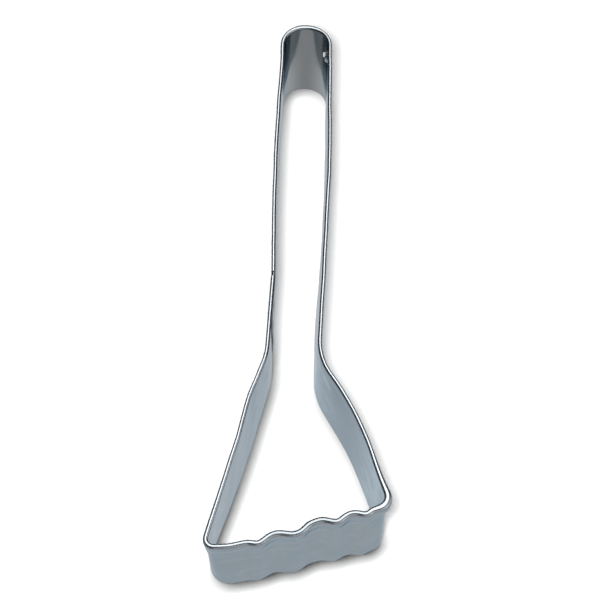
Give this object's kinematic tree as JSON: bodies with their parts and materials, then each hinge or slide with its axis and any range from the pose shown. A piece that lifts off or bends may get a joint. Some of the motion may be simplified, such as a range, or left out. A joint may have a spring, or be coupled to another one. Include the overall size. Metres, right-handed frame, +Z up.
{
  "type": "cookie cutter",
  "caption": "Broom-shaped cookie cutter bent from one tinplate strip with a hemmed rim, its lapped ends spot welded; it presses a broom outline out of rolled dough.",
  "frame": {"origin": "on the surface that the cutting edge stands on, under the middle of the band's box", "axes": "+Y along the handle from the brush end to the round end, +Z up from the cutting edge to the hemmed rim, +X to the right seen from above"},
  "size_m": [0.0348, 0.1248, 0.0222],
  "materials": {
    "tinplate": "satin tinplate, blue-grey, with faint rolling grain and a bright folded rim",
    "weld_metal": "dull darkened steel of an electrode mark"
  },
  "bodies": {
    "root": {"cutter_band": "tinplate", "spot_weld_lower": "weld_metal", "spot_weld_upper": "weld_metal"}
  },
  "joints": []
}
